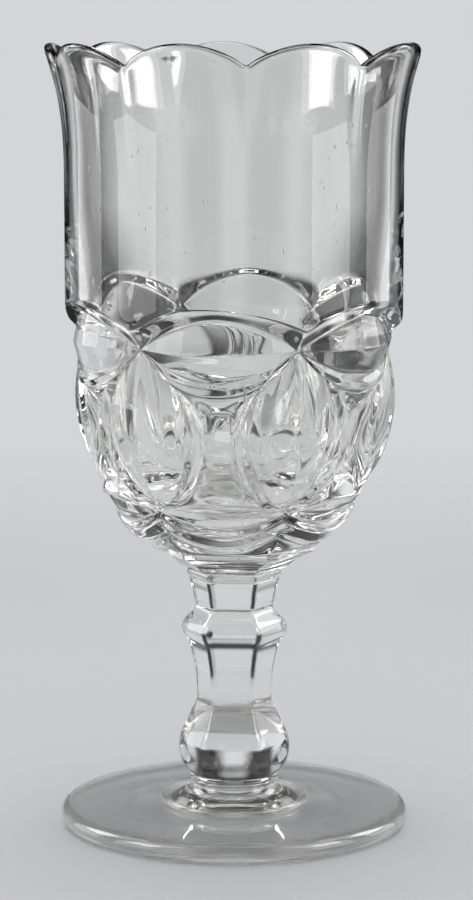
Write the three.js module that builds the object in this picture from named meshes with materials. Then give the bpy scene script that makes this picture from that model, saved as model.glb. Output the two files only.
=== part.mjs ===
// Pressed glass celery vase: a scalloped bowl on a six-sided standard and a round foot.
// Millimetres, +Z up. The origin is the centre of the flat underside of the foot.
// The mould pattern has six stars round the bowl. Each half sector runs from a star (angle 0)
// to the middle between two stars (angle 30 degrees), and is mirrored and repeated round the axis.

import * as THREE from "three";
import { mergeVertices } from "three/addons/utils/BufferGeometryUtils.js";

// Heights of the parts, stacked from the table upwards.
const footEdgeThickness = 5.9;
const collarHeight = 7.2;
const bulbRise = 9.9;
const shankLength = 35;
const capitalHeight = 16;
const waferThickness = 2.1;
const tiersHeight = 21.9;
const almondHeight = 47;
const wallRise = 45;
const flareHeight = 40;

const stemFootHeight = footEdgeThickness + collarHeight;
const bulbHeight = stemFootHeight + bulbRise;
const kneeHeight = bulbHeight + shankLength;
const stemTopHeight = kneeHeight + capitalHeight;
const bowlFootHeight = stemTopHeight + waferThickness;
const lowStarHeight = bowlFootHeight + tiersHeight;
const starHeight = lowStarHeight + almondHeight;
const flareFootHeight = starHeight + wallRise;
const overallHeight = flareFootHeight + flareHeight;

// Foot, collar and standard.
const footRadius = 51.6;
const collarRadius = 21.6;
const collarEdgeThickness = 1.9;
const stemNeckRadius = 12.8;
const bulbRadius = 16.6;
const kneeRadius = 16.1;
const stemTopRadius = 14;

// Wall, rim and inside of the bowl.
const bowlRadius = 49.3;
const rimWall = 3.4;
const rimFlare = 6.7;
const lipThickness = 3.2;
const scallopDepth = 6.6;
const scallopDrawIn = 1.1;
const cavityFloorDrop = 1;

// Ovals of the mould pattern: heights from the stars and radii from the axis.
const starRadius = 44.2;
const skirtCuspRise = 4.7;
const skirtArchRise = 11.2;
const ovalTopRise = 9;
const ovalTopRadius = 46.3;
const creaseDrop = 0.5;
const creaseRadius = 48.1;
const ovalFootDrop = 8.2;
const ovalFootRadius = 46;
const borderWidth = 4.2;
const borderCrestShare = 0.5;
const borderCrestRadius = 46.7;
const borderEdgeRadius = 46.3;
const borderStepDepth = 1.1;
const borderStepDrop = 0.6;

// Upright almonds and the windows between them.
const almondRadius = 47.2;
const lensAngle = 14.3;
const lensFall = 1.5;
const grooveAngle = 4.2;
const grooveFall = 3.3;
const ribAngle = 3.4;
const ribFall = 0.7;
const frameAngle = 2.4;
const windowTopDrop = 17.4;
const windowTopRadius = 43;
const windowFootRise = 8.8;
const windowFootRadius = 39;

// Tiers under the pattern: drops from the lower stars, then the ledge and neck above the wafer.
const lowStarRadius = 35.9;
const sillRise = 2.7;
const sillRadius = 39.8;
const sillStepDepth = 1.9;
const sillStepDrop = 0.8;
const basalTopDrop = 4.3;
const basalTopRadius = 34;
const basalStepDepth = 1;
const basalStepDrop = 0.4;
const basalCuspDrop = 2.6;
const basalCuspRadius = 35.6;
const basalSagDrop = 7.4;
const basalSagRadius = 33.4;
const basalEdgeDrop = 3.5;
const basalEdgeDepth = 3;
const basalUnderDrop = 0.3;
const basalUnderDepth = 2.4;
const ledgeRadius = 24.9;
const ledgeDraft = 0.6;
const ledgeThickness = 2.1;
const ledgeUndercut = 2;
const ledgeUndercutHeight = 0.6;
const neckHeight = 5;
const neckRadius = 15.6;

// Counts.
const scallopCount = 9;
const starCount = 6;
const columnsPerHalfSector = 6;
const borderRibCount = 3;
const sillRibCount = 2;
const freeRibCount = 6;

// Angles: a star and a scallop valley share one mould seam, and the standard has a flat to the front.
const fullTurn = 360;
const frontAngle = -90;
const seamAngle = frontAngle - 36.3;
const halfSector = fullTurn / starCount / 2;
const columnStep = halfSector / columnsPerHalfSector;

// Shapes of curves: exponents, and places in a strip.
const scallopPowerShare = 0.72;
const flarePower = 2.6;

const clearGlass = { color: 0xe9eef0, roughness: 0.03, metalness: 0, transparent: true, opacity: 0.45 };

// Small mathematical helpers.
const smoothRise = (share) => 1 - (1 - share) ** 2;
const mix = (from, to, share) => from + (to - from) * share;

function polar(radius, degrees, height) {
  const angle = THREE.MathUtils.degToRad(degrees);
  return new THREE.Vector3(radius * Math.cos(angle), radius * Math.sin(angle), height);
}

// A smooth curve through [x share, y share] pairs, read as y at a given x.
function curveThrough(pairs) {
  const curve = new THREE.SplineCurve(pairs.map(([x, y]) => new THREE.Vector2(x, y)));
  const points = curve.getPoints(pairs.length * 16);
  return (x) => {
    const after = points.findIndex((point) => point.x >= x);
    if (after <= 0) return after < 0 ? points[points.length - 1].y : points[0].y;
    const before = points[after - 1];
    const span = points[after].x - before.x;
    return mix(before.y, points[after].y, span > 0 ? (x - before.x) / span : 0);
  };
}

// Collects the triangles of one closed skin.
class Skin {
  constructor() {
    this.values = [];
  }

  triangle(a, b, c) {
    const flat = new THREE.Triangle(a, b, c).getArea() < Number.EPSILON;
    if (!flat) this.values.push(...a.toArray(), ...b.toArray(), ...c.toArray());
  }

  // A ruled strip between two rows with as many points. Seen from outside, the first row lies above
  // the second and both run to the right.
  strip(upper, lower) {
    for (let i = 1; i < upper.length; i++) {
      const fall = upper[i - 1].distanceTo(lower[i]);
      const rise = lower[i - 1].distanceTo(upper[i]);
      if (fall <= rise) {
        this.triangle(upper[i - 1], lower[i - 1], lower[i]);
        this.triangle(upper[i - 1], lower[i], upper[i]);
      } else {
        this.triangle(upper[i - 1], lower[i - 1], upper[i]);
        this.triangle(upper[i], lower[i - 1], lower[i]);
      }
    }
  }

  // Closes a ring of points with a fan round its middle, facing up or down.
  cap(ring, facesUp) {
    const middle = ring.slice(1).reduce((sum, point) => sum.add(point), new THREE.Vector3());
    middle.divideScalar(ring.length - 1);
    for (let i = 1; i < ring.length; i++) {
      if (facesUp) this.triangle(middle, ring[i - 1], ring[i]);
      else this.triangle(middle, ring[i], ring[i - 1]);
    }
  }

  geometry() {
    const skin = new THREE.BufferGeometry();
    skin.setAttribute("position", new THREE.Float32BufferAttribute(this.values, 3));
    const merged = mergeVertices(skin);
    merged.computeVertexNormals();
    return merged;
  }
}

function glassMesh(name, geometry) {
  const mesh = new THREE.Mesh(geometry, new THREE.MeshStandardMaterial(clearGlass));
  mesh.name = name;
  return mesh;
}

// One ring of the bowl at the pattern's column angles; place(turn) gives [radius, height].
function ringOf(place) {
  const count = Math.round(fullTurn / columnStep);
  return Array.from({ length: count + 1 }, (_, column) => {
    const turn = (column % count) * columnStep;
    const [radius, height] = place(turn);
    return polar(radius, seamAngle + turn, height);
  });
}

// The scalloped rim: 0 at a valley, 1 at the top of a lobe.
function lobe(turn) {
  const pitch = fullTurn / scallopCount;
  return Math.sin(Math.PI * ((turn % pitch) / pitch)) ** scallopPowerShare;
}

// The flared wall. Share 0 is the top of the straight wall, share 1 the middle of the lip.
function flaredWall(turn, share, side) {
  const top = overallHeight - lipThickness / 2 - scallopDepth * (1 - lobe(turn));
  const height = mix(flareFootHeight, top, share);
  const climb = (height - flareFootHeight) / flareHeight;
  const drawIn = scallopDrawIn * (1 - lobe(turn)) * share ** 2;
  const middle = bowlRadius - rimWall / 2 + rimFlare * climb ** flarePower - drawIn;
  const wall = mix(rimWall, lipThickness, share);
  return [middle + (side * wall) / 2, height];
}

// The rounded lip over the wall, from the outside (0) to the inside (1).
function lip(turn, share) {
  const [outside, height] = flaredWall(turn, 1, 1);
  const [inside] = flaredWall(turn, 1, -1);
  const half = (outside - inside) / 2;
  const angle = Math.PI * share;
  return [inside + half + half * Math.cos(angle), height + half * Math.sin(angle)];
}

const flareShares = [1, 0.9, 0.8, 0.68, 0.52, 0.3, 0];
const lipShares = [0.25, 0.5, 0.75];

// The inside of the bowl, as the plunger left it: a round floor and a slow taper to the straight wall.
// Shares of the height from the floor to the foot of the flare, and of the inner radius.
const cavityShares = [
  [1, 1],
  [0.9, 0.9946],
  [0.783, 0.9745],
  [0.658, 0.9466],
  [0.5385, 0.9216],
  [0.4265, 0.895],
  [0.323, 0.853],
  [0.229, 0.784],
  [0.149, 0.685],
  [0.0874, 0.563],
  [0.042, 0.423],
  [0.013, 0.274],
  [0, 0],
];

function cavityRings() {
  const floor = lowStarHeight - cavityFloorDrop;
  const wallRadius = bowlRadius - rimWall;
  return cavityShares
    .slice(1)
    .map(([up, out]) => ringOf(() => [wallRadius * out, mix(floor, flareFootHeight, up)]));
}

// Rows of the mould pattern. Each takes the share of a half sector, 0 at the star and 1 midway,
// and runs from its place at the star to its place midway.
function archRow(power, atStar, midway) {
  return (share) => {
    const away = (1 - share) ** power;
    return [mix(midway[0], atStar[0], (1 - share) ** 2), mix(midway[1], atStar[1], away)];
  };
}

const starPlace = [starRadius, starHeight];
const lowStarPlace = [lowStarRadius, lowStarHeight];
const skirtEdge = archRow(
  2.2,
  [bowlRadius, starHeight + skirtCuspRise],
  [bowlRadius, starHeight + skirtArchRise],
);
const ovalTop = archRow(1.55, starPlace, [ovalTopRadius, starHeight + ovalTopRise]);
const ovalCrease = archRow(3, starPlace, [creaseRadius, starHeight - creaseDrop]);
const ovalFoot = archRow(2, starPlace, [ovalFootRadius, starHeight - ovalFootDrop]);
const borderFootHeight = starHeight - ovalFootDrop - borderWidth;
const borderCrestHeight = mix(starHeight - ovalFootDrop, borderFootHeight, borderCrestShare);
const borderCrest = archRow(2.15, starPlace, [borderCrestRadius, borderCrestHeight]);
const borderEdge = archRow(2.3, starPlace, [borderEdgeRadius, borderFootHeight]);
const border = archRow(2.3, starPlace, [
  borderEdgeRadius - borderStepDepth,
  borderFootHeight - borderStepDrop,
]);

const sill = archRow(2.2, lowStarPlace, [sillRadius, lowStarHeight + sillRise]);
const sillUnder = archRow(2.2, lowStarPlace, [
  sillRadius - sillStepDepth,
  lowStarHeight + sillRise - sillStepDrop,
]);
const basalTop = archRow(2, lowStarPlace, [basalTopRadius, lowStarHeight - basalTopDrop]);
const basalStep = archRow(2, lowStarPlace, [
  basalTopRadius - basalStepDepth,
  lowStarHeight - basalTopDrop - basalStepDrop,
]);
const basalCusp = [basalCuspRadius, lowStarHeight - basalCuspDrop];
const basalSag = [basalSagRadius, lowStarHeight - basalSagDrop];
const basalCrest = archRow(2, basalCusp, basalSag);
const inAndDown = ([radius, height], depth, drop) => [radius - depth, height - drop];
const basalEdge = archRow(
  2,
  inAndDown(basalCusp, basalEdgeDepth, basalEdgeDrop),
  inAndDown(basalSag, basalEdgeDepth, basalEdgeDrop),
);
const basalUnder = archRow(
  2,
  inAndDown(basalCusp, basalEdgeDepth, basalEdgeDrop + basalUnderDrop),
  inAndDown(basalSag, basalEdgeDepth + basalUnderDepth, basalEdgeDrop + basalUnderDrop),
);

// A straight-sided hexagon with its corners under the stars.
function hexagonRow(cornerRadius, height) {
  return (share) => {
    const apothem = cornerRadius * Math.cos(THREE.MathUtils.degToRad(halfSector));
    const fromFlat = THREE.MathUtils.degToRad(halfSector * (1 - share));
    return [apothem / Math.cos(fromFlat), height];
  };
}

// The upright almonds. Height share 0 is the star and 1 the lower star.
const almondProfileShares = [
  [0, 0],
  [0.14, 0.55],
  [0.33, 1],
  [0.5, 0.86],
  [0.6, 0.52],
  [0.7, 0.03],
  [0.8, -0.73],
  [0.9, -1.75],
  [1, -2.77],
];
const lensWidthShares = [
  [0, 0],
  [0.08, 0.6],
  [0.2, 0.86],
  [0.42, 1],
  [0.68, 0.83],
  [0.9, 0.36],
  [1, 0],
];
const grooveWidthShares = [
  [0, 0],
  [0.08, 0.36],
  [0.25, 0.78],
  [0.5, 1],
  [0.74, 0.8],
  [0.92, 0.4],
  [1, 0],
];
const ribWidthShares = [
  [0, 0.3],
  [0.21, 0.68],
  [0.36, 0.9],
  [0.52, 1],
  [0.68, 0.96],
  [0.84, 0.74],
  [0.96, 0.476],
  [1, 0.4],
];
const almondProfile = curveThrough(almondProfileShares);
const lensWidth = curveThrough(lensWidthShares);
const grooveWidth = curveThrough(grooveWidthShares);
const ribWidth = curveThrough(ribWidthShares);

// Each line of the almond is read at a height: its angle from the star and its radius.
function almondLine(height, widest, width, fall) {
  const drop = (starHeight - height) / (starHeight - lowStarHeight);
  const crown = starRadius + (almondRadius - starRadius) * almondProfile(drop);
  const swell = Math.sin(Math.PI * Math.min(Math.max(drop, 0), 1)) ** 0.5;
  return { angle: widest * width(drop), radius: crown - fall * swell, height };
}

// Point of the bowl's pattern in a half sector that starts at a star and runs to one side.
function placer(star, side) {
  const origin = seamAngle + (star * fullTurn) / starCount;
  return (angle, radius, height) => polar(radius, origin + side * angle, height);
}

function rowPoints(place, row, from, to) {
  const points = [];
  for (let column = from; column <= to; column++) {
    const share = column / columnsPerHalfSector;
    const [radius, height] = row(share);
    points.push(place(share * halfSector, radius, height));
  }
  return points;
}

// Adds rows from the star outwards, turned round where the half sector runs to the left.
function addStrip(skin, side, upper, lower) {
  if (side > 0) skin.strip(upper, lower);
  else skin.strip([...upper].reverse(), [...lower].reverse());
}

// The outer rib of an almond: along the oval's border, down freely, and along the sill to the star.
function ribLine(place) {
  const alongBorder = rowPoints(place, border, 0, borderRibCount);
  const alongSill = rowPoints(place, sill, 0, sillRibCount).reverse();
  const free = [];
  for (let step = 1; step < freeRibCount; step++) {
    const height = mix(alongBorder[borderRibCount].z, alongSill[0].z, step / freeRibCount);
    const line = almondLine(height, lensAngle + grooveAngle + ribAngle, ribWidth, ribFall);
    free.push(place(line.angle, line.radius, line.height));
  }
  return [...alongBorder, ...free, ...alongSill];
}

// Half of an upright almond: ridge, lens, groove and rib. Down its side the upper row of a strip
// is the one nearer the window.
function addAlmond(skin, side, place, rib) {
  const lineAt = (widest, width, fall) =>
    rib.map((point) => {
      const line = almondLine(point.z, widest, width, fall);
      return place(line.angle, line.radius, line.height);
    });
  const lens = lineAt(lensAngle, lensWidth, lensFall);
  const groove = lineAt(lensAngle + grooveAngle, grooveWidth, grooveFall);
  addStrip(skin, side, lens, lineAt(0, lensWidth, 0));
  addStrip(skin, side, groove, lens);
  addStrip(skin, side, rib, groove);
}

// Half of the flat window between two almonds, in its mitred frame.
function addWindow(skin, side, place, rib) {
  const last = columnsPerHalfSector;
  const topAngle = lensAngle + grooveAngle + ribAngle + frameAngle;
  const halfWidth = windowTopRadius * Math.sin(THREE.MathUtils.degToRad(halfSector - topAngle));
  const footAngle = halfSector - THREE.MathUtils.radToDeg(Math.asin(halfWidth / windowFootRadius));
  const level = (degrees, radius, height) => {
    const inward = Math.cos(THREE.MathUtils.degToRad(halfSector - degrees));
    return [place(degrees, radius, height), place(halfSector, radius * inward, height)];
  };
  const [cornerTop, middleTop] = level(topAngle, windowTopRadius, starHeight - windowTopDrop);
  const [cornerFoot, middleFoot] = level(footAngle, windowFootRadius, lowStarHeight + windowFootRise);
  const over = rowPoints(place, border, borderRibCount, last);
  const under = rowPoints(place, sill, sillRibCount, last);
  const sideRib = rib.slice(borderRibCount, rib.length - sillRibCount);
  const down = (from, to) =>
    sideRib.map((_, i) => new THREE.Vector3().lerpVectors(from, to, i / (sideRib.length - 1)));
  const windowSide = down(cornerTop, cornerFoot);
  addStrip(skin, side, windowSide, sideRib);
  addStrip(skin, side, down(middleTop, middleFoot), windowSide);
  const innerTop = over.map((_, i) => (i < 2 ? cornerTop : middleTop));
  const innerFoot = under.map((_, i) => (i < under.length - 1 ? cornerFoot : middleFoot));
  addStrip(skin, side, over, innerTop);
  addStrip(skin, side, innerFoot, under);
}

function addRows(skin, side, place, rows) {
  const lines = rows.map((row) => rowPoints(place, row, 0, columnsPerHalfSector));
  for (let i = 1; i < lines.length; i++) addStrip(skin, side, lines[i - 1], lines[i]);
}

// The six-sided ledge, its undercut and the cone down to the joint.
function ledgeRows() {
  const shoulder = bowlFootHeight + neckHeight;
  const ledgeFoot = shoulder + ledgeUndercutHeight;
  const draftRadius = ledgeRadius - ledgeDraft;
  const shoulderRadius = draftRadius - ledgeUndercut;
  const rows = [hexagonRow(ledgeRadius, ledgeFoot + ledgeThickness), hexagonRow(draftRadius, ledgeFoot)];
  const neckShares = [0, 0.35, 0.7, 1];
  for (const share of neckShares) {
    const radius = mix(shoulderRadius, neckRadius, smoothRise(share));
    rows.push(hexagonRow(radius, mix(shoulder, bowlFootHeight, share)));
  }
  return rows;
}

function bowlGeometry() {
  const skin = new Skin();
  const outside = flareShares.map((share) => ringOf((turn) => flaredWall(turn, share, 1)));
  const inside = flareShares.map((share) => ringOf((turn) => flaredWall(turn, share, -1)));
  const over = lipShares.map((share) => ringOf((turn) => lip(turn, share)));
  const shell = [...cavityRings().reverse(), ...inside.reverse(), ...over.reverse(), ...outside];
  for (let i = 1; i < shell.length; i++) skin.strip(shell[i - 1], shell[i]);

  const upperRows = [() => [bowlRadius, flareFootHeight], skirtEdge, ovalTop, ovalCrease, ovalFoot];
  upperRows.push(borderCrest, borderEdge, border);
  const lowerRows = [sill, sillUnder, basalTop, basalStep, basalCrest, basalEdge, basalUnder];
  lowerRows.push(...ledgeRows());
  for (let star = 0; star < starCount; star++) {
    for (const side of [1, -1]) {
      const place = placer(star, side);
      const rib = ribLine(place);
      addRows(skin, side, place, upperRows);
      addAlmond(skin, side, place, rib);
      addWindow(skin, side, place, rib);
      addRows(skin, side, place, lowerRows);
    }
  }
  const foot = ringOf((turn) => {
    const inSector = turn % (halfSector * 2);
    const share = Math.min(inSector, halfSector * 2 - inSector) / halfSector;
    return lowerRows[lowerRows.length - 1](share);
  });
  skin.cap(foot, false);
  return skin.geometry();
}

// The standard in three lengths. Each level is a share of the length's height, a share of the radius
// at the length's head, and its roundness (0 is six-sided, 1 is round).
const belowBulbShares = [
  [0.22, 0.815, 1],
  [0.4, 0.9, 0.9],
  [0.62, 0.97, 0.75],
  [1, 1, 0.6],
];
const shankShares = [
  [0.08, 0.98, 0.45],
  [0.15, 0.925, 0.3],
  [0.22, 0.845, 0.15],
  [0.29, 0.785, 0.05],
  [0.36, 0.715, 0],
  [0.5, 0.695, 0],
  [0.64, 0.71, 0],
  [0.76, 0.76, 0],
  [0.85, 0.81, 0],
  [0.92, 0.875, 0],
  [0.97, 0.94, 0],
];
const capitalShares = [
  [0, 1, 0],
  [0.14, 0.955, 0],
  [0.26, 0.86, 0],
  [0.4, 0.73, 0],
  [0.56, 0.755, 0],
  [0.72, 0.78, 0],
  [0.88, 0.83, 0],
];

function stemLevels() {
  const levels = [[stemFootHeight, stemNeckRadius, 1]];
  const add = (shares, from, to, radius) => {
    for (const [up, out, round] of shares) levels.push([mix(from, to, up), radius * out, round]);
  };
  add(belowBulbShares, stemFootHeight, bulbHeight, bulbRadius);
  add(shankShares, bulbHeight, kneeHeight, bulbRadius);
  add(capitalShares, kneeHeight, stemTopHeight, kneeRadius);
  levels.push([stemTopHeight, stemTopRadius, 0]);
  return levels;
}

function stemGeometry() {
  const skin = new Skin();
  const stepsPerSide = 4;
  const sides = starCount;
  const count = sides * stepsPerSide;
  const rings = stemLevels().map(([height, radius, roundness]) =>
    Array.from({ length: count + 1 }, (_, i) => {
      const inSide = (i % stepsPerSide) / stepsPerSide;
      const fromFlat = THREE.MathUtils.degToRad((inSide - 0.5) * (fullTurn / sides));
      const flat = (radius * Math.cos(Math.PI / sides)) / Math.cos(fromFlat);
      const turn = ((i % count) / count) * fullTurn + frontAngle + fullTurn / sides / 2;
      return polar(mix(flat, radius, roundness), turn, height);
    }),
  );
  for (let i = 1; i < rings.length; i++) skin.strip(rings[i], rings[i - 1]);
  skin.cap(rings[rings.length - 1], true);
  skin.cap(rings[0], false);
  return skin.geometry();
}

// The thin wafer of glass that joins the bowl to the standard.
function waferGeometry() {
  const outline = new THREE.Shape();
  for (let corner = 0; corner < starCount; corner++) {
    const point = polar(stemTopRadius, frontAngle + halfSector + (corner * fullTurn) / starCount, 0);
    if (corner === 0) outline.moveTo(point.x, point.y);
    else outline.lineTo(point.x, point.y);
  }
  const geometry = new THREE.ExtrudeGeometry(outline, { depth: waferThickness, bevelEnabled: false });
  geometry.translate(0, 0, stemTopHeight);
  return geometry;
}

// A revolved solid from [radius, height] pairs that start and end on the axis, bottom first.
function revolve(pairs, segments) {
  const profile = pairs.map(([radius, height]) => new THREE.Vector2(radius, height));
  const geometry = new THREE.LatheGeometry(profile, segments);
  geometry.rotateX(Math.PI / 2);
  return geometry;
}

function collarGeometry() {
  const top = footEdgeThickness + collarHeight;
  const edge = footEdgeThickness + collarEdgeThickness;
  const sweepShares = [0.2, 0.45, 0.7, 0.88, 1];
  const sweep = sweepShares.map((share) => [
    mix(collarRadius, stemNeckRadius, Math.sin((share * Math.PI) / 2)),
    mix(edge, top, 1 - Math.cos((share * Math.PI) / 2)),
  ]);
  const inset = collarEdgeThickness / 4;
  return revolve(
    [
      [0, footEdgeThickness],
      [collarRadius - inset, footEdgeThickness],
      [collarRadius, footEdgeThickness + inset],
      [collarRadius, edge - inset],
      [collarRadius - inset, edge],
      ...sweep,
      [0, top],
    ],
    48,
  );
}

function footGeometry() {
  const half = footEdgeThickness / 2;
  const edgeSteps = 6;
  const edge = Array.from({ length: edgeSteps + 1 }, (_, i) => {
    const angle = Math.PI * (i / edgeSteps - 0.5);
    return [footRadius - half + half * Math.cos(angle), half + half * Math.sin(angle)];
  });
  return revolve([[0, 0], ...edge, [0, footEdgeThickness]], 72);
}

const vase = new THREE.Group();
vase.add(glassMesh("foot", footGeometry()));
vase.add(glassMesh("foot_collar", collarGeometry()));
vase.add(glassMesh("stem", stemGeometry()));
vase.add(glassMesh("joining_wafer", waferGeometry()));
vase.add(glassMesh("bowl", bowlGeometry()));

export default vase;
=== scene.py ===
import math

import bmesh
import bpy
import numpy as np
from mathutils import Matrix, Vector


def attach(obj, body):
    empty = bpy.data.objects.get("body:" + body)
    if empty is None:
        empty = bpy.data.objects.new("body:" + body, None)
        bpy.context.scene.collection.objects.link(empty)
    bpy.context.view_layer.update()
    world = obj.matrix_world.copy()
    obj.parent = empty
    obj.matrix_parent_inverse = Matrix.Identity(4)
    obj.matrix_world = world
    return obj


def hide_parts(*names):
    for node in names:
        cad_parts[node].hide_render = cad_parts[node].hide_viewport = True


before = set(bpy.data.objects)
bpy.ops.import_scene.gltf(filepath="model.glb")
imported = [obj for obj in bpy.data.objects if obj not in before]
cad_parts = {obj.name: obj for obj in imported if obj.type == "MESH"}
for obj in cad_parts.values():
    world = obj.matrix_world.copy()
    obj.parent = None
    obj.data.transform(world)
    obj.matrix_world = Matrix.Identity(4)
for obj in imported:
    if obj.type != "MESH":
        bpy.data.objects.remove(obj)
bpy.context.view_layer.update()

# Clear pressed glass celery vase. The dictionaries of the pieces and of the glass are in millimetres and
# degrees, those of the stage, the lamps and the camera in metres and degrees.
# The mould pattern has six stars. A half sector runs from a star to the middle between two stars.

millimetre = 0.001

making = {
    "rowCrowding": 0.6,       # 0 spaces rows evenly, 1 crowds them to the arrises
    "mergeWithin": 4e-6,      # metres
    "dropEdgesUnder": 1e-7,   # metres
}


# Small helpers.

def mix(start, end, share):
    return start + (end - start) * share


def between(start, end, share):
    return tuple(mix(np.array(start), np.array(end), share))


def crowded(rows):
    # Shares from 0 to 1 that stand closer at both ends, where the arrises are.
    return [mix(row / rows, 0.5 - 0.5 * math.cos(math.pi * row / rows), making["rowCrowding"])
            for row in range(rows + 1)]


def polar(radius, degrees, height):
    angle = math.radians(degrees)
    return (radius * math.cos(angle), radius * math.sin(angle), height)


def smoothCurve(points):
    # A natural cubic spline through [x, y] pairs, read as y at x. No break in its curvature shows in glass.
    x, y = np.array(points, float).T
    gaps, count = np.diff(x), len(x)
    grid, right = np.eye(count), np.zeros(count)
    for i in range(1, count - 1):
        grid[i, i - 1:i + 2] = gaps[i - 1], 2 * (gaps[i - 1] + gaps[i]), gaps[i]
        right[i] = 6 * ((y[i + 1] - y[i]) / gaps[i] - (y[i] - y[i - 1]) / gaps[i - 1])
    bend = np.linalg.solve(grid, right)

    def at(place):
        i = min(max(int(np.searchsorted(x, place)) - 1, 0), count - 2)
        a, b = (x[i + 1] - place) / gaps[i], (place - x[i]) / gaps[i]
        bent = (a ** 3 - a) * bend[i] + (b ** 3 - b) * bend[i + 1]
        return float(a * y[i] + b * y[i + 1] + bent * gaps[i] ** 2 / 6)
    return at


def splineThrough(points, steps):
    # An even cubic B-spline that follows control points, for surfaces that reflect without a break.
    made = []
    for i in range(1, len(points) - 2):
        p0, p1, p2, p3 = (np.array(points[i + k], float) for k in (-1, 0, 1, 2))
        for t in np.linspace(0, 1, steps, endpoint=False):
            made.append(tuple(((1 - t) ** 3 * p0 + (3 * t ** 3 - 6 * t * t + 4) * p1
                               + (-3 * t ** 3 + 3 * t * t + 3 * t + 1) * p2 + t ** 3 * p3) / 6))
    return made


def linearColour(hexText):
    # sRGB hex to the linear values that the shaders take.
    values = [int(hexText[i:i + 2], 16) / 255 for i in (1, 3, 5)]
    return [v / 12.92 if v <= 0.04045 else ((v + 0.055) / 1.055) ** 2.4 for v in values] + [1.0]


def addNode(tree, kind, settings=(), links=()):
    # Adds one node. Settings set its own fields and inputs. Links join its inputs to sockets, or to the
    # first output of a node.
    node = tree.nodes.new(kind)
    for key, value in dict(settings).items():
        if isinstance(key, int) or key in node.inputs.keys():
            node.inputs[key].default_value = value
        else:
            setattr(node, key, value)
    for key, source in dict(links).items():
        if isinstance(source, bpy.types.Node):
            source = source.outputs[0]
        tree.links.new(source, node.inputs[key])
    return node


def addObject(name, data):
    made = bpy.data.objects.new(name, data)
    bpy.context.scene.collection.objects.link(made)
    return made


def smoothShaded(data):
    for polygon in data.polygons:
        polygon.use_smooth = True


def evaluatedMesh(piece):
    # The piece's mesh as its modifiers leave it.
    graph = bpy.context.evaluated_depsgraph_get()
    data = bpy.data.meshes.new_from_object(piece.evaluated_get(graph), depsgraph=graph)
    smoothShaded(data)
    return data


class Skin:
    # Collects the faces of one surface, given as points in millimetres.
    def __init__(self):
        self.points, self.faces = [], []

    def face(self, *corners):
        first = len(self.points)
        self.points += corners
        self.faces.append(list(range(first, first + len(corners))))

    def strip(self, upper, lower, rows=1, mirrored=False):
        # Seen from outside, upper lies above lower and both run to the right.
        lines = [[between(u, v, share) for u, v in zip(upper, lower)] for share in crowded(rows)]
        for a, b in zip(lines, lines[1:]):
            for i in range(1, len(a)):
                quad = [a[i - 1], b[i - 1], b[i], a[i]]
                self.face(*(reversed(quad) if mirrored else quad))

    def stack(self, rings):
        # Strips between rings that follow each other from the bottom up.
        for lower, upper in zip(rings, rings[1:]):
            self.strip(upper, lower)

    def mesh(self, name):
        built = bmesh.new()
        verts = [built.verts.new(Vector(point) * millimetre) for point in self.points]
        for face in self.faces:
            built.faces.new([verts[i] for i in face])
        bmesh.ops.remove_doubles(built, verts=built.verts, dist=making["mergeWithin"])
        bmesh.ops.dissolve_degenerate(built, edges=built.edges, dist=making["dropEdgesUnder"])
        data = bpy.data.meshes.new(name)
        built.to_mesh(data)
        built.free()
        smoothShaded(data)
        return addObject(name, data)


# Bowl.

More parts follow.
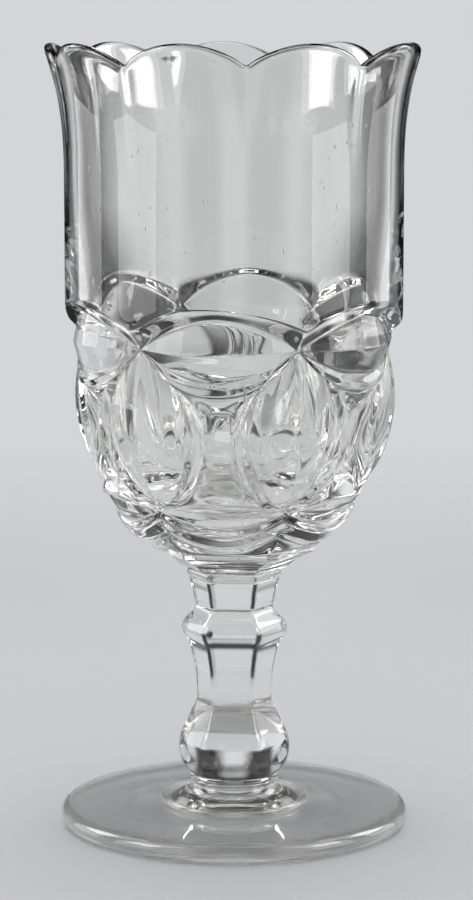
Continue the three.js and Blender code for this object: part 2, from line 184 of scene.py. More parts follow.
bowl = {
    "height": 230, "base": 76.1, "wallRadius": 49.3, "wall": 3.4,
    "flare": 6.7, "flareHeight": 40, "flarePower": 2.6, "flareRows": 18, "lip": 3.2, "lipRows": 10,
    "scallops": 9, "scallopDepth": 6.6, "scallopDrawIn": 1.1, "scallopPower": 0.72,
    "cavity": [(-6, 97), (0, 97), (6, 97), (12.5, 97.9), (19.5, 100.6), (26, 104.9), (31.6, 110.6),
               (36.2, 118), (39.4, 127), (41.2, 136.5), (42.3, 147), (43.4, 158), (44.8, 170),
               (45.8, 181), (45.9, 190), (45.9, 199)],
    "cavitySteps": 4,
    "seamAngle": -126.3, "stars": 6,
    "starHeight": 145, "starRadius": 44.2, "lowStarHeight": 98, "lowStarRadius": 35.9,
    # Lines of the pattern. Each has the power of its curve. The skirt then has its heights over the stars,
    # at a star and at the middle between two. The other lines leave from the stars, and have their radius
    # and their height over the stars at the middle. Before these, the basal lines have their radius and
    # height at a star.
    "skirt": (2.2, 4.7, 11.2),
    "starLines": {"ovalTop": (1.55, 46.3, 9.0), "crease": (3, 48.1, -0.5), "ovalFoot": (2, 46.0, -8.2),
                  "borderCrest": (2.15, 46.7, -10.3), "borderEdge": (2.3, 46.3, -12.4),
                  "border": (2.3, 45.2, -13.0)},
    "lowStarLines": {"sill": (2.2, 39.8, 2.7), "sillUnder": (2.2, 37.9, 1.9), "basalTop": (2, 34.0, -4.3),
                     "basalStep": (2, 33.0, -4.7)},
    "basalLines": {"basalCrest": (2, 35.6, -2.6, 33.4, -7.4), "basalEdge": (2, 32.6, -6.1, 30.4, -10.9),
                   "basalUnder": (2, 32.6, -6.4, 28.0, -11.2)},
    "ledge": 24.9, "ledgeDraft": 0.6, "ledgeTop": -14.2, "ledgeFoot": -16.3, "undercut": (22.3, -16.9),
    "neckRadius": 15.6, "neckPower": 1.6, "neckShares": (0.12, 0.25, 0.4, 0.55, 0.7, 0.85, 1),
    # Lines of the almond at their widest: degrees from its ridge and how far they lie under its crown.
    "almondRadius": 47.2, "lens": (14.3, 2.9), "groove": (18.5, 4.5), "rib": (21.9, 0.7),
    "ribOnBorder": 15, "ribOnSill": 10, "ribSteps": 38,
    # Radius and height of the window's ends, and width and depth of the bevel inside its frame.
    "windowTop": (43.0, 127.9), "windowFoot": (39.0, 106.5), "windowHalfWidth": 4.7,
    "windowBevel": (1.2, 1.0), "windowColumns": 9,
    # Rows of faces under each line.
    "upperRows": {"wall": 14, "skirt": 5, "ovalTop": 10, "crease": 9, "ovalFoot": 5, "borderCrest": 5,
                  "borderEdge": 3},
    "lowerRows": {"sill": 3, "sillUnder": 7, "basalTop": 3, "basalStep": 4, "basalCrest": 5,
                  "basalEdge": 2, "basalUnder": 6, "ledgeTop": 4, "ledgeFoot": 3},
    "lensRows": 10, "grooveRows": 6, "ribRows": 6, "frameRows": 6, "bevelRows": 4, "jointRows": 3,
    "firePolish": 2,          # rounds of softening
}

halfSector = 180 // bowl["stars"]     # degrees, with a column of faces for each


def lobe(turn):
    # 0 in a valley of the rim, 1 on a scallop's crown.
    pitch = 360 / bowl["scallops"]
    return abs(math.sin(math.pi * turn / pitch)) ** bowl["scallopPower"]


def flaredWall(turn, share, side):
    # Radius and height on the flare. Side is 1 outside and -1 inside, share runs up to the lip.
    base = bowl["height"] - bowl["flareHeight"]
    top = bowl["height"] - bowl["lip"] / 2 - bowl["scallopDepth"] * (1 - lobe(turn))
    height = mix(base, top, share)
    climb = (height - base) / bowl["flareHeight"]
    drawIn = bowl["scallopDrawIn"] * (1 - lobe(turn)) * share ** 2
    middle = bowl["wallRadius"] - bowl["wall"] / 2 + bowl["flare"] * climb ** bowl["flarePower"] - drawIn
    return middle + side * mix(bowl["wall"], bowl["lip"], share) / 2, height


def lipPoint(turn, share):
    # The round lip, from outside at share 0 to inside at 1.
    outside, height = flaredWall(turn, 1, 1)
    inside, _ = flaredWall(turn, 1, -1)
    half = (outside - inside) / 2
    angle = math.pi * share
    return inside + half + half * math.cos(angle), height + half * math.sin(angle)


def archLine(power, ends, middle):
    # A line of the pattern: share 0 at the star, 1 midway between two stars.
    def place(share):
        away = 1 - share
        return mix(middle[0], ends[0], away ** 2), mix(middle[1], ends[1], away ** power)
    return place


def hexagonLine(corner, height):
    apothem = corner * math.cos(math.radians(halfSector))
    return lambda share: (apothem / math.cos(math.radians(halfSector * (1 - share))), height)


def patternLines():
    star, low, wall = bowl["starHeight"], bowl["lowStarHeight"], bowl["wallRadius"]
    power, cuspRise, archRise = bowl["skirt"]
    lines = {"wall": lambda share: (wall, bowl["height"] - bowl["flareHeight"]),
             "skirt": archLine(power, (wall, star + cuspRise), (wall, star + archRise))}
    for table, ends in (("starLines", (bowl["starRadius"], star)),
                        ("lowStarLines", (bowl["lowStarRadius"], low))):
        for name, (power, radius, rise) in bowl[table].items():
            lines[name] = archLine(power, ends, (radius, ends[1] + rise))
    for name, (power, cuspRadius, cuspRise, radius, rise) in bowl["basalLines"].items():
        lines[name] = archLine(power, (cuspRadius, low + cuspRise), (radius, low + rise))
    lines["ledgeTop"] = hexagonLine(bowl["ledge"], low + bowl["ledgeTop"])
    lines["ledgeFoot"] = hexagonLine(bowl["ledge"] - bowl["ledgeDraft"], low + bowl["ledgeFoot"])
    return lines


class HalfSector:
    # Puts lines of the pattern on one side of a star, and strips of faces between them.
    def __init__(self, skin, mirrored):
        self.skin, self.mirrored, self.lines = skin, mirrored, patternLines()

    def place(self, angle, radius, height):
        return polar(radius, bowl["seamAngle"] + (-angle if self.mirrored else angle), height)

    def points(self, line, first=0, last=halfSector):
        return [self.place(column, *line(column / halfSector)) for column in range(first, last + 1)]

    def strip(self, upper, lower, rows):
        self.skin.strip(upper, lower, rows, self.mirrored)

    def tiers(self, lines):
        # Each entry is a line with the rows under it.
        for (upper, rows), (lower, _) in zip(lines, lines[1:]):
            self.strip(upper, lower, rows)


def addOval(half):
    # The wall's cusped skirt, the horizontal oval with its crease, and the rolled border under it.
    tiers = [(half.points(half.lines[name]), rows) for name, rows in bowl["upperRows"].items()]
    half.tiers(tiers + [(half.points(half.lines["border"]), 0)])


# Shape of the almond's crown and widths of its lines, over the way from the star to the lower star.
almondProfile = smoothCurve([(0, 0), (0.14, 0.55), (0.33, 1), (0.5, 0.86), (0.6, 0.52), (0.7, 0.03),
                             (0.8, -0.73), (0.9, -1.75), (0.95, -2.4), (1, -2.77)])
lensWidth = smoothCurve([(0, 0), (0.08, 0.6), (0.2, 0.86), (0.42, 1), (0.68, 0.83), (0.9, 0.36), (1, 0)])
grooveWidth = smoothCurve([(0, 0), (0.08, 0.36), (0.25, 0.78), (0.5, 1), (0.74, 0.8), (0.92, 0.4), (1, 0)])
ribWidth = smoothCurve([(0, 0.3), (0.21, 0.68), (0.36, 0.9), (0.52, 1), (0.68, 0.96), (0.84, 0.74),
                        (0.96, 0.476), (1, 0.4)])


def almondPoint(height, widest, width, fall):
    drop = (bowl["starHeight"] - height) / (bowl["starHeight"] - bowl["lowStarHeight"])
    drop = min(max(drop, 0), 1)
    crown = bowl["starRadius"] + (bowl["almondRadius"] - bowl["starRadius"]) * almondProfile(drop)
    return widest * width(drop), crown - fall * math.sqrt(math.sin(math.pi * drop)), height


def addAlmond(half):
    # The upright almond: ridge, lens, groove and rib, from the star down to the lower star.
    def line(heights, widest, fall, width):
        return [half.place(*almondPoint(height, widest, width, fall)) for height in heights]

    alongBorder = half.points(half.lines["border"], 0, bowl["ribOnBorder"])
    alongSill = half.points(half.lines["sill"], 0, bowl["ribOnSill"])[::-1]
    free = np.linspace(alongBorder[-1][2], alongSill[0][2], bowl["ribSteps"] + 1)[1:-1]
    rib = alongBorder + line(free, *bowl["rib"], ribWidth) + alongSill
    heights = [point[2] for point in rib]
    ridge = line(heights, 0, 0, lensWidth)
    lens = line(heights, *bowl["lens"], lensWidth)
    groove = line(heights, *bowl["groove"], grooveWidth)
    half.strip(lens, ridge, bowl["lensRows"])
    half.strip(groove, lens, bowl["grooveRows"])
    half.strip(rib, groove, bowl["ribRows"])
    return rib


def addWindow(half, rib):
    # The window between two almonds, a flat panel in a mitred frame with a bevel inside it.
    (topRadius, topHeight), (footRadius, footHeight) = bowl["windowTop"], bowl["windowFoot"]
    lean = (topRadius - footRadius) / (topHeight - footHeight)

    def edge(end, up, inset=0, sunk=0):
        # Corner and middle of the upper or lower edge of the panel.
        radius, height = bowl[end]
        radius, height = radius + up * lean * inset - sunk, height + up * inset
        across = math.degrees(math.asin((bowl["windowHalfWidth"] - inset) / radius))
        middle = radius * math.cos(math.radians(across))
        return half.place(halfSector - across, radius, height), half.place(halfSector, middle, height)

    def line(start, end, shares):
        return [between(start, end, share) for share in shares]

    outerTop, outerFoot = edge("windowTop", -1), edge("windowFoot", 1)
    innerTop = edge("windowTop", -1, *bowl["windowBevel"])
    innerFoot = edge("windowFoot", 1, *bowl["windowBevel"])
    sideRib = rib[bowl["ribOnBorder"]:len(rib) - bowl["ribOnSill"]]
    down = np.linspace(0, 1, len(sideRib))
    frameSide, bevelSide = line(outerTop[0], outerFoot[0], down), line(innerTop[0], innerFoot[0], down)
    half.strip(frameSide, sideRib, bowl["frameRows"])
    half.strip(bevelSide, frameSide, bowl["bevelRows"])
    half.strip(line(innerTop[1], innerFoot[1], down), bevelSide, bowl["windowColumns"])
    # Over and under the panel the first columns fan into its corner.
    columns = crowded(bowl["windowColumns"])
    for name, first, outer, inner in (("border", bowl["ribOnBorder"], outerTop, innerTop),
                                      ("sill", bowl["ribOnSill"], outerFoot, innerFoot)):
        far = half.points(half.lines[name], first)
        frameEdge, bevelEdge = line(*outer, columns), line(*inner, columns)
        fan = [frameEdge[0]] * (len(far) - len(frameEdge)) + frameEdge
        for away, near, rows in ((far, fan, bowl["frameRows"]), (frameEdge, bevelEdge, bowl["bevelRows"])):
            half.strip(*((away, near) if name == "border" else (near, away)), rows)


def addTiers(half):
    # The stepped tiers, down to the six-sided neck and across the joint face.
    shoulder, bottom = bowl["undercut"][0], bowl["lowStarHeight"] + bowl["undercut"][1]
    tiers = [(half.points(half.lines[name]), rows) for name, rows in bowl["lowerRows"].items()]
    tiers.append((half.points(hexagonLine(shoulder, bottom)), 1))
    for share in bowl["neckShares"]:
        radius = mix(shoulder, bowl["neckRadius"], 1 - (1 - share) ** bowl["neckPower"])
        tiers.append((half.points(hexagonLine(radius, mix(bottom, bowl["base"], share))), 1))
    joint = tiers.pop()[0]
    half.tiers(tiers + [(joint, bowl["jointRows"]), ([(0, 0, bowl["base"])] * len(joint), 0)])


def addScallop(skin):
    # One scallop of the rim with the wall's inside under it, from a valley to the next.
    def ring(place):
        made = []
        for turn in range(round(360 / bowl["scallops"]) + 1):
            radius, height = place(turn)
            made.append(polar(radius, bowl["seamAngle"] + turn, height))
        return made

    cavity = splineThrough(bowl["cavity"], bowl["cavitySteps"])
    cavity[0] = (0, cavity[0][1])
    rings = [ring(lambda turn: place) for place in cavity[:-1]]
    rings += [ring(lambda turn: flaredWall(turn, share, -1))
              for share in np.linspace(0, 1, bowl["flareRows"] + 1)]
    rings += [ring(lambda turn: lipPoint(turn, share))
              for share in np.linspace(1, 0, bowl["lipRows"] + 1)[1:-1]]
    rings += [ring(lambda turn: flaredWall(turn, share, 1))
              for share in np.linspace(1, 0, bowl["flareRows"] + 1)]
    for upper, lower in zip(rings, rings[1:]):
        skin.strip(upper, lower)


def repeatTree(name, material, parts):
    # Repeats each part round the axis, joins them into one skin and softens the arrises as the fire does.
    tree = bpy.data.node_groups.new(name, "GeometryNodeTree")
    for side in ("OUTPUT", "INPUT"):
        tree.interface.new_socket("Geometry", in_out=side, socket_type="NodeSocketGeometry")
    polish = tree.interface.new_socket("Fire Polish", in_out="INPUT", socket_type="NodeSocketInt")
    given = addNode(tree, "NodeGroupInput")
    join = addNode(tree, "GeometryNodeJoinGeometry")
    for part, count in parts:
        shape = addNode(tree, "GeometryNodeObjectInfo", {"Object": part})
        line = addNode(tree, "GeometryNodeMeshLine", {"Count": count, "Offset": (0, 0, 0)})
        index = addNode(tree, "GeometryNodeInputIndex")
        turn = addNode(tree, "ShaderNodeMath", {"operation": "MULTIPLY", 1: 2 * math.pi / count}, {0: index})
        turned = addNode(tree, "ShaderNodeCombineXYZ", {}, {"Z": turn})
        copies = addNode(tree, "GeometryNodeInstanceOnPoints", {},
                         {"Points": line, "Instance": shape.outputs["Geometry"], "Rotation": turned})
        tree.links.new(copies.outputs[0], join.inputs[0])
    real = addNode(tree, "GeometryNodeRealizeInstances", {}, {0: join})
    merged = addNode(tree, "GeometryNodeMergeByDistance", {"Distance": making["mergeWithin"]}, {0: real})
    position = addNode(tree, "GeometryNodeInputPosition")
    blur = addNode(tree, "GeometryNodeBlurAttribute", {"data_type": "FLOAT_VECTOR"},
                   {"Value": position, "Iterations": given.outputs["Fire Polish"]})
    soft = addNode(tree, "GeometryNodeSetPosition", {}, {"Geometry": merged, "Position": blur})
    dressed = addNode(tree, "GeometryNodeSetMaterial", {"Material": material}, {0: soft})
    addNode(tree, "NodeGroupOutput", {}, {0: dressed})
    return tree, polish.identifier


def makeBowl(material):
    sector, rim = Skin(), Skin()
    for mirrored in (False, True):
        half = HalfSector(sector, mirrored)
        addOval(half)
        addWindow(half, addAlmond(half))
        addTiers(half)
    addScallop(rim)
    sectorPart, rimPart = sector.mesh("bowlSector"), rim.mesh("rimScallop")
    carrier = addObject("bowlCarrier", bpy.data.meshes.new("bowlCarrier"))
    modifier = carrier.modifiers.new("repeat", "NODES")
    parts = [(sectorPart, bowl["stars"]), (rimPart, bowl["scallops"])]
    modifier.node_group, polish = repeatTree("bowlTree", material, parts)
    modifier[polish] = bowl["firePolish"]
    piece = addObject("pressedBowl", evaluatedMesh(carrier))
    for used in (carrier, sectorPart, rimPart):
        bpy.data.objects.remove(used)
    print("bowl", len(piece.data.polygons), "faces")
    return piece


# Standard and wafer.

stem = {
    "foot": 13.1, "top": 74, "neck": 12.8, "knee": (16.1, 58), "bulb": (16.6, 23),
    # Shares of the height between two of these places, each with a share of a radius.
    "underBulb": [(0, 1), (0.12, 1), (0.22, 1.05)],
    "bulbFoot": [(0.4, 0.9), (0.62, 0.97)],
    "shank": [(0, 1), (0.08, 0.98), (0.15, 0.925), (0.22, 0.845), (0.29, 0.785), (0.36, 0.715),
              (0.5, 0.695), (0.64, 0.71), (0.76, 0.76), (0.85, 0.81), (0.92, 0.875), (0.97, 0.94)],
    "overKnee": [(0, 1), (0.14, 0.955), (0.26, 0.86), (0.4, 0.73), (0.56, 0.755), (0.72, 0.78),
                 (0.88, 0.83), (1, 0.87)],
    # The same with the roundness: 0 is six-sided, 1 is round.
    "roundBulb": [(0, 1), (0.3, 1)],
    "roundShank": [(0, 0.6), (0.15, 0.3), (0.3, 0.03), (0.45, 0)],
    "sides": 6, "turn": -3.5, "columns": 144, "capRows": 6,
    "rows": (109, 43),        # below and above the knee
    "joint": 0.05,            # how far the glass runs into its neighbours
    "softening": 20, "softenFactor": 0.4,
}


def stemCurves():
    (knee, kneeHeight), (bulb, bulbHeight) = stem["knee"], stem["bulb"]

    def rows(name, start, end, radius=1):
        return [(mix(start, end, share), radius * part) for share, part in stem[name]]

    radii = rows("underBulb", stem["foot"], bulbHeight, stem["neck"])
    radii += rows("bulbFoot", stem["foot"], bulbHeight, bulb)
    radii += rows("shank", bulbHeight, kneeHeight, bulb) + [(kneeHeight, knee)]
    upper = rows("overKnee", kneeHeight, stem["top"], knee)
    roundness = rows("roundBulb", stem["foot"], bulbHeight) + rows("roundShank", bulbHeight, kneeHeight)
    return smoothCurve(radii), smoothCurve(upper), smoothCurve(roundness + [(stem["top"], 0)])


def sixSidedRing(corner, height, roundness=0):
    half = 180 / stem["sides"]
    ring = []
    for i in range(stem["columns"] + 1):
        turn = (i % stem["columns"]) * 360 / stem["columns"]
        flat = corner * math.cos(math.radians(half)) / math.cos(math.radians(turn % (2 * half) - half))
        ring.append(polar(mix(flat, corner, roundness), turn - 2 * half + stem["turn"], height))
    return ring


def closedStack(name, rings, softening, material):
    # A skin over rings, closed below and above, with arrises softened by the fire.
    bottom, top = rings[0], rings[-1]
    skin = Skin()
    skin.stack(rings)
    skin.strip([(0, 0, top[0][2])] * len(top), top, stem["capRows"])
    skin.strip(bottom, [(0, 0, bottom[0][2])] * len(bottom), stem["capRows"])
    piece = skin.mesh(name)
    modifier = piece.modifiers.new("soften", "SMOOTH")
    modifier.iterations = softening
    modifier.factor = stem["softenFactor"]
    data = evaluatedMesh(piece)
    piece.modifiers.remove(modifier)
    piece.data = data
    data.materials.append(material)
    print(name, len(data.polygons), "faces")
    return piece


def makeStem(material):
    lowRadius, highRadius, roundness = stemCurves()
    kneeHeight = stem["knee"][1]
    lowRows, highRows = stem["rows"]
    heights = list(np.linspace(stem["foot"] - stem["joint"], kneeHeight, lowRows + 1))
    heights += list(np.linspace(kneeHeight, stem["top"] + stem["joint"], highRows + 1))[1:]
    rings = []
    for height in heights:
        radius = lowRadius(height) if height <= kneeHeight else highRadius(height)
        rings.append(sixSidedRing(radius, height, roundness(height)))
    return closedStack("facetedStem", rings, stem["softening"], material)


wafer = {
    "foot": 74, "height": 2.1, "corner": 14.0, "joint": 0.05, "softening": 1,
    # Shares of the height, each with the way out from the corner radius.
    "edge": [(0, -0.5), (0.15, -0.15), (0.4, 0), (0.6, 0), (0.85, -0.15), (1, -0.5)],
}


def makeWafer(material):
    low, high = wafer["foot"] - wafer["joint"], wafer["foot"] + wafer["height"] + wafer["joint"]
    rings = [sixSidedRing(wafer["corner"] + out, mix(low, high, share)) for share, out in wafer["edge"]]
    return closedStack("joiningWafer", rings, wafer["softening"], material)


# Collar and foot.

def revolve(name, profile, columns, material):
    # Profile of [radius, height] pairs, bottom first, that starts and ends on the axis.
    skin = Skin()
    skin.stack([[polar(radius, (i % columns) * 360 / columns, height) for i in range(columns + 1)]
                for radius, height in profile])
    piece = skin.mesh(name)
    piece.data.materials.append(material)
    print(name, len(piece.data.polygons), "faces")
    return piece


def arc(middle, height, radius, start, end, count):
    # Points on a round edge. Degrees run up from straight down at -90.
    turns = [math.radians(angle) for angle in np.linspace(start, end, count)]
    return [(middle + radius * math.cos(a), height + radius * math.sin(a)) for a in turns]


collar = {
    "foot": 5.9, "height": 7.2, "radius": 21.6, "edge": 1.9, "edgeEnd": 75, "edgePoints": 12,
    "neck": 12.8, "flareSteps": 21, "joint": 0.05, "columns": 144,
    "footRadii": (0, 5, 10, 15, 19), "topRadii": (9, 5, 0),
}


def makeCollar(material):
    low, top = collar["foot"] - collar["joint"], collar["foot"] + collar["height"] + collar["joint"]
    half = collar["edge"] / 2
    profile = [(radius, low) for radius in collar["footRadii"]]
    profile += arc(collar["radius"] - half, collar["foot"] + half, half, -90, collar["edgeEnd"],
                   collar["edgePoints"])
    edgeRadius, edgeHeight = profile[-1]
    for share in np.linspace(0, 1, collar["flareSteps"] + 1)[1:]:
        a = share * math.pi / 2
        profile.append((mix(edgeRadius, collar["neck"], math.sin(a)), mix(edgeHeight, top, 1 - math.cos(a))))
    profile += [(radius, top) for radius in collar["topRadii"]]
    return revolve("footCollar", profile, collar["columns"], material)


foot = {
    "radius": 51.6, "thickness": 5.9, "edgePoints": 25, "columns": 240,
    "hollow": 0.9, "restRing": 44.5, "hollowSteps": 16,
    "topRadii": (46, 40, 32, 24, 16, 8, 0),
}


def makeFoot(material):
    # The underside is slightly hollow, so that the foot rests on a ring near its edge.
    half = foot["thickness"] / 2
    profile = [(foot["restRing"] * share, foot["hollow"] * (1 - share ** 2) ** 2)
               for share in np.linspace(0, 1, foot["hollowSteps"] + 1)]
    profile += arc(foot["radius"] - half, half, half, -90, 90, foot["edgePoints"])
    profile += [(radius, foot["thickness"]) for radius in foot["topRadii"]]
    return revolve("roundFoot", profile, foot["columns"], material)


# Glass.

glass = {
    "colour": "#fafaf8", "ior": 1.52, "noiseRoughness": 0.2,
    "seeds": (2.2, 0.81, 0.85, 0.04),      # size, noise where they start and where they are full, height
    "scratches": (0.002, 0.14),            # width on the scale of the wave noise, roughness
    "scratchPatches": (0.6, 0.45),         # haze noise where they are full and gone
    "smudges": (24, 0.024),                # size, roughness
    "seams": 3, "seamFirst": -86.3, "seamWidth": 0.34, "seamHeight": 0.08,
    "seamGaps": (0.62, 0.3),               # wave noise where the seam is full and gone
    # Waves: size and height. Seam top: heights where the seam is full and gone. Worn: how high the wear
    # reaches, roughness.
    "looks": {
        "firePolishedBowlGlass": {"waves": (13, 0.028), "seamTop": (104, 150), "worn": None},
        "hotJoinedGlass": {"waves": (8, 0.05), "seamTop": None, "worn": None},
        "pressedStemGlass": {"waves": (10, 0.03), "seamTop": None, "worn": None},
        "restingFootGlass": {"waves": (18, 0.03), "seamTop": None, "worn": (0.35, 0.3)},
    },
}

# Settings for a Map Range: rises from 0 to 1, or fades from 1 to 0, between From Min and From Max.
rises = {"interpolation_type": "SMOOTHSTEP"}
fades = {"interpolation_type": "SMOOTHSTEP", "To Min": 1.0, "To Max": 0.0}


def newMaterial(name):
    material = bpy.data.materials.new(name)
    material.use_nodes = True
    material.node_tree.nodes.clear()
    return material


def makeGlass(name):
    # Soda-lime glass pressed in an iron mould, then fire polished: clear and a little wavy, with a few
    # seeds (tiny bubbles), mould seams that the polish left low down, and hairline scratches from use.
    # Seeds and hairlines are drawn coarser than they are, so that they show.
    look = glass["looks"][name]
    waveSize, waveHeight = look["waves"]
    seedSize, seedStart, seedFull, seedHeight = glass["seeds"]
    smudgeSize, smudge = glass["smudges"]
    material = newMaterial(name)
    tree = material.node_tree
    place = addNode(tree, "ShaderNodeTexCoord").outputs["Object"]
    along = addNode(tree, "ShaderNodeSeparateXYZ", {}, {"Vector": place})
    waves, seeds, haze = [
        addNode(tree, "ShaderNodeTexNoise",
                {"Scale": 1 / (size * millimetre), "Detail": detail, "Roughness": glass["noiseRoughness"]},
                {"Vector": place})
        for size, detail in ((waveSize, 1.0), (seedSize, 0.0), (smudgeSize, 1.0))]

    # Surface relief in millimetres.
    height = addNode(tree, "ShaderNodeMath", {"operation": "MULTIPLY", 1: waveHeight}, {0: waves})
    seed = addNode(tree, "ShaderNodeMapRange",
                   {**fades, "From Min": seedFull, "From Max": seedStart, "To Min": seedHeight},
                   {"Value": seeds})
    height = addNode(tree, "ShaderNodeMath", {"operation": "ADD"}, {0: height, 1: seed})
    if look["seamTop"]:
        # The mould opened in three parts, and the polish took the line off higher up.
        angle = addNode(tree, "ShaderNodeMath", {"operation": "ARCTAN2"},
                        {0: along.outputs["Y"], 1: along.outputs["X"]})
        turned = addNode(tree, "ShaderNodeMath",
                         {"operation": "SUBTRACT", 1: math.radians(glass["seamFirst"])}, {0: angle})
        away = addNode(tree, "ShaderNodeMath", {"operation": "PINGPONG", 1: math.pi / glass["seams"]},
                       {0: turned})
        flat = addNode(tree, "ShaderNodeVectorMath", {"operation": "MULTIPLY", 1: (1, 1, 0)}, {0: place})
        radius = addNode(tree, "ShaderNodeVectorMath", {"operation": "LENGTH"}, {0: flat})
        across = addNode(tree, "ShaderNodeMath", {"operation": "MULTIPLY"},
                         {0: away, 1: radius.outputs["Value"]})
        ridge = addNode(tree, "ShaderNodeMapRange",
                        {**fades, "From Min": 0.0, "From Max": glass["seamWidth"] * millimetre,
                         "To Min": glass["seamHeight"]}, {"Value": across})
        seamTop = [top * millimetre for top in look["seamTop"]]
        for value, (full, gone) in ((along.outputs["Z"], seamTop), (waves, glass["seamGaps"])):
            left = addNode(tree, "ShaderNodeMapRange", {**fades, "From Min": full, "From Max": gone},
                           {"Value": value})
            ridge = addNode(tree, "ShaderNodeMath", {"operation": "MULTIPLY"}, {0: ridge, 1: left})
        height = addNode(tree, "ShaderNodeMath", {"operation": "ADD"}, {0: height, 1: ridge})
    bump = addNode(tree, "ShaderNodeBump", {"Strength": 1.0, "Distance": millimetre}, {"Height": height})

    # Handling leaves a faint haze, with hairlines along the level lines of the waves.
    rough = addNode(tree, "ShaderNodeMath", {"operation": "MULTIPLY", 1: smudge}, {0: haze})
    scratchWidth, scratchRough = glass["scratches"]
    patchFull, patchGone = glass["scratchPatches"]
    level = addNode(tree, "ShaderNodeMath", {"operation": "SUBTRACT", 1: 0.5}, {0: waves})
    fromLine = addNode(tree, "ShaderNodeMath", {"operation": "ABSOLUTE"}, {0: level})
    hair = addNode(tree, "ShaderNodeMapRange",
                   {**fades, "From Min": 0.0, "From Max": scratchWidth, "To Min": scratchRough},
                   {"Value": fromLine})
    patch = addNode(tree, "ShaderNodeMapRange", {**fades, "From Min": patchFull, "From Max": patchGone},
                    {"Value": haze})
    hair = addNode(tree, "ShaderNodeMath", {"operation": "MULTIPLY"}, {0: hair, 1: patch})
    rough = addNode(tree, "ShaderNodeMath", {"operation": "ADD"}, {0: rough, 1: hair})
    if look["worn"]:
        # The table has ground matt the ring that the foot stands on.
        reach, matt = look["worn"]
        wear = addNode(tree, "ShaderNodeMapRange",
                       {**fades, "From Min": reach * millimetre / 3, "From Max": reach * millimetre,
                        "To Min": matt}, {"Value": along.outputs["Z"]})
        rough = addNode(tree, "ShaderNodeMath", {"operation": "ADD"}, {0: rough, 1: wear})
    shader = addNode(tree, "ShaderNodeBsdfPrincipled",
                     {"Base Color": linearColour(glass["colour"]), "IOR": glass["ior"],
                      "Transmission Weight": 1.0}, {"Roughness": rough, "Normal": bump})
    addNode(tree, "ShaderNodeOutputMaterial", {}, {"Surface": shader})
    print("material", name)
    return material


# Floor, dark cards and world.

stage = {
    "background": "#d3d5d8", "floor": "#d0d2d5", "floorRoughness": 0.8, "floorSpecular": 0.1,
    "radius": 1.4, "corners": 96, "level": -0.00003,
    "fade": (0.30, 0.85),                  # distances where the floor starts and ends turning background
    "throughGlass": 0.25,                  # how much background the floor gives to rays through glass
    # The world's light, and the heights on its sphere between which the eye sees background and ceiling.
    "worldLight": 0.72, "ceiling": "#303235", "horizon": (0.12, 0.36),
}


def seenByEye(tree):
    # 1 for the rays that carry the picture: camera, glossy and transmission rays.
    path = addNode(tree, "ShaderNodeLightPath")
    either = addNode(tree, "ShaderNodeMath", {"operation": "MAXIMUM"},
                     {0: path.outputs["Is Camera Ray"], 1: path.outputs["Is Glossy Ray"]})
    return addNode(tree, "ShaderNodeMath", {"operation": "MAXIMUM"},
                   {0: either, 1: path.outputs["Is Transmission Ray"]})


def makeFloor():
    # A round floor that fades into the background before its edge.
    count = stage["corners"]
    rim = [polar(stage["radius"], 360 * i / count, stage["level"]) for i in range(count)]
    data = bpy.data.meshes.new("floor")
    data.from_pydata(rim, [], [list(range(count))])
    material = newMaterial("paleFloor")
    tree = material.node_tree
    place = addNode(tree, "ShaderNodeTexCoord").outputs["Object"]
    away = addNode(tree, "ShaderNodeVectorMath", {"operation": "LENGTH"}, {0: place})
    near, far = stage["fade"]
    fade = addNode(tree, "ShaderNodeMapRange", {**rises, "From Min": near, "From Max": far},
                   {"Value": away.outputs["Value"]})
    share = addNode(tree, "ShaderNodeMath", {"operation": "MULTIPLY"}, {0: fade, 1: seenByEye(tree)})
    # Glass shows the floor's pale colour too, and not only the shadow under its foot.
    path = addNode(tree, "ShaderNodeLightPath")
    through = addNode(tree, "ShaderNodeMath", {"operation": "MULTIPLY", 1: stage["throughGlass"]},
                      {0: path.outputs["Is Transmission Ray"]})
    share = addNode(tree, "ShaderNodeMath", {"operation": "MAXIMUM"}, {0: share, 1: through})
    # Matt painted board, which gives an even colour and keeps a soft shadow.
    surface = addNode(tree, "ShaderNodeBsdfPrincipled",
                      {"Base Color": linearColour(stage["floor"]), "Roughness": stage["floorRoughness"],
                       "Specular IOR Level": stage["floorSpecular"]})
    glow = addNode(tree, "ShaderNodeEmission", {"Color": linearColour(stage["background"]), "Strength": 1.0})
    blend = addNode(tree, "ShaderNodeMixShader", {}, {0: share, 1: surface, 2: glow})
    addNode(tree, "ShaderNodeOutputMaterial", {}, {"Surface": blend})
    data.materials.append(material)
    floor = addObject("floor", data)
    print("floor")


cards = {
    "colour": "#151617", "roughness": 0.9, "count": 8, "corners": 64,
    "near": (0.2, 0.4),                    # distances where the cards start and are full
    "far": 1.7, "level": 0.0005, "top": 1.6,
    "halfAngles": (8, 18),                 # full and gone, to both sides of a card's middle
}


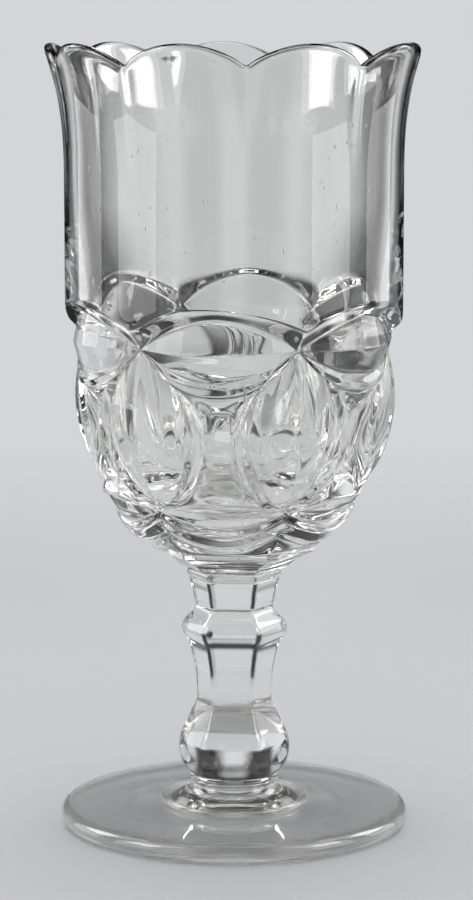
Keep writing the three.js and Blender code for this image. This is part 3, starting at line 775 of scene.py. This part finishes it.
def makeFlags():
    # Dark cards round the set, out of the picture, on the floor and upright, with soft edges. They give
    # the glass its dark edges and facets. Between two cards the pale background shows straight through.
    # All cards are one sheet, and its material leaves the gaps clear.
    material = newMaterial("darkCard")
    tree = material.node_tree
    place = addNode(tree, "ShaderNodeTexCoord").outputs["Object"]
    along = addNode(tree, "ShaderNodeSeparateXYZ", {}, {"Vector": place})
    azimuth = addNode(tree, "ShaderNodeMath", {"operation": "ARCTAN2"},
                      {0: along.outputs["Y"], 1: along.outputs["X"]})
    fromGap = addNode(tree, "ShaderNodeMath", {"operation": "PINGPONG", 1: math.pi / cards["count"]},
                      {0: azimuth})
    full, gone = (math.radians(180 / cards["count"] - angle) for angle in cards["halfAngles"])
    byAngle = addNode(tree, "ShaderNodeMapRange", {**rises, "From Min": gone, "From Max": full},
                      {"Value": fromGap})
    flat = addNode(tree, "ShaderNodeVectorMath", {"operation": "MULTIPLY", 1: (1, 1, 0)}, {0: place})
    away = addNode(tree, "ShaderNodeVectorMath", {"operation": "LENGTH"}, {0: flat})
    near, fullFrom = cards["near"]
    byDistance = addNode(tree, "ShaderNodeMapRange", {**rises, "From Min": near, "From Max": fullFrom},
                         {"Value": away.outputs["Value"]})
    share = addNode(tree, "ShaderNodeMath", {"operation": "MULTIPLY"}, {0: byAngle, 1: byDistance})
    # Black felt, which gives almost nothing back.
    card = addNode(tree, "ShaderNodeBsdfPrincipled",
                   {"Base Color": linearColour(cards["colour"]), "Roughness": cards["roughness"]})
    clear = addNode(tree, "ShaderNodeBsdfTransparent")
    blend = addNode(tree, "ShaderNodeMixShader", {}, {0: share, 1: clear, 2: card})
    addNode(tree, "ShaderNodeOutputMaterial", {}, {"Surface": blend})
    points, faces = [], []
    count, far, level = cards["corners"], cards["far"], cards["level"]
    for i in range(count):
        turn = 360 * i / count
        points += [polar(near, turn, level), polar(far, turn, level), polar(far, turn, cards["top"])]
        here, after = 3 * i, 3 * ((i + 1) % count)
        faces += [(here, after, after + 1, here + 1), (here + 1, after + 1, after + 2, here + 2)]
    data = bpy.data.meshes.new("flags")
    data.from_pydata(points, [], faces)
    data.materials.append(material)
    flags = addObject("flags", data)
    for ray in ("camera", "diffuse", "shadow"):
        setattr(flags, "visible_" + ray, False)
    print("dark cards")


def makeWorld():
    # Even light for the floor. The eye sees pale round the horizon and a dark ceiling above.
    world = bpy.data.worlds.new("studio")
    world.use_nodes = True
    tree = world.node_tree
    tree.nodes.clear()
    light = addNode(tree, "ShaderNodeBackground",
                    {"Color": linearColour("#ffffff"), "Strength": stage["worldLight"]})
    place = addNode(tree, "ShaderNodeTexCoord").outputs["Generated"]
    along = addNode(tree, "ShaderNodeSeparateXYZ", {}, {"Vector": place})
    low, high = stage["horizon"]
    climb = addNode(tree, "ShaderNodeMapRange", {**rises, "From Min": low, "From Max": high},
                    {"Value": along.outputs["Z"]})
    # The colours of a Mix are its inputs 6 and 7, and what it makes of them is its output 2.
    sky = addNode(tree, "ShaderNodeMix",
                  {"data_type": "RGBA", 6: linearColour(stage["background"]),
                   7: linearColour(stage["ceiling"])}, {0: climb})
    shown = addNode(tree, "ShaderNodeBackground", {"Strength": 1.0}, {0: sky.outputs[2]})
    blend = addNode(tree, "ShaderNodeMixShader", {}, {0: seenByEye(tree), 1: light, 2: shown})
    addNode(tree, "ShaderNodeOutputWorld", {}, {"Surface": blend})
    bpy.context.scene.world = world
    print("world")


# Lamps.

lamps = {
    "faces": (0, 0, 0.13),
    # Azimuth from the camera's side to the right, distance, height, width, tallness, radiance and the rays
    # that see the lamp. The side panels show by reflection only, so that the glass between stays clear.
    "bothSides": [
        ("sidePanel", 67, 0.9, 0.45, 0.55, 1.5, 2.5, ("glossy",)),
        ("sidePanel", 112.5, 0.9, 0.45, 0.53, 1.5, 2.5, ("glossy",)),
        ("highSoftbox", 67.5, 0.9, 0.62, 0.36, 0.42, 7, ("glossy", "transmission")),
        ("highSoftbox", 112.5, 0.9, 0.62, 0.36, 0.42, 7, ("glossy", "transmission")),
    ],
    "over": ("topSoftbox", 180, 0.15, 1.3, 0.6, 0.6, 3.6, ("diffuse", "glossy", "transmission")),
}


def areaLight(name, azimuth, distance, height, width, tall, radiance, seenBy):
    # A softbox that faces the vase.
    data = bpy.data.lights.new(name, "AREA")
    data.shape = "RECTANGLE"
    data.size, data.size_y = width, tall
    data.energy = radiance * math.pi * width * tall
    lamp = addObject(name, data)
    lamp.location = polar(distance, azimuth - 90, height)
    lamp.rotation_euler = (Vector(lamps["faces"]) - lamp.location).to_track_quat("-Z", "Y").to_euler()
    lamp.visible_camera = False
    for ray in ("diffuse", "glossy", "transmission"):
        setattr(lamp, "visible_" + ray, ray in seenBy)


def makeLamps():
    for side in (-1, 1):
        for name, azimuth, *rest in lamps["bothSides"]:
            areaLight(name, side * azimuth, *rest)
    areaLight(*lamps["over"])
    print("lamps")


# The photograph's camera, from the ellipses of rim, collar and foot.
cameraView = {
    "distance": 0.852, "height": 0.23466, "aside": 0.0007, "pitch": 8.24, "clipStart": 0.01,
    "focalPixels": 2930, "framePixels": 900, "sensor": 36,
}


def makeCamera():
    data = bpy.data.cameras.new("camera")
    data.sensor_width = cameraView["sensor"]
    data.lens = cameraView["focalPixels"] / cameraView["framePixels"] * cameraView["sensor"]
    data.clip_start = cameraView["clipStart"]
    camera = addObject("camera", data)
    camera.location = (cameraView["aside"], -cameraView["distance"], cameraView["height"])
    camera.rotation_euler = (math.radians(90 - cameraView["pitch"]), 0, 0)
    bpy.context.scene.camera = camera
    print("camera")


looks = {name: makeGlass(name) for name in glass["looks"]}
pieces = [
    (makeBowl(looks["firePolishedBowlGlass"]), "bowl"),
    (makeWafer(looks["hotJoinedGlass"]), "joining_wafer"),
    (makeStem(looks["pressedStemGlass"]), "stem"),
    (makeCollar(looks["hotJoinedGlass"]), "foot_collar"),
    (makeFoot(looks["restingFootGlass"]), "foot"),
]
for piece, node in pieces:
    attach(piece, "root")
    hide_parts(node)

makeFloor()
makeFlags()
makeLamps()
makeWorld()
makeCamera()

# Light passes through many walls and facets before it leaves the glass.
lightBounces = {"max_bounces": 32, "transmission_bounces": 22, "glossy_bounces": 12,
                "transparent_max_bounces": 16}

scene = bpy.context.scene
scene.view_settings.view_transform = "Standard"
for name, bounces in lightBounces.items():
    setattr(scene.cycles, name, bounces)
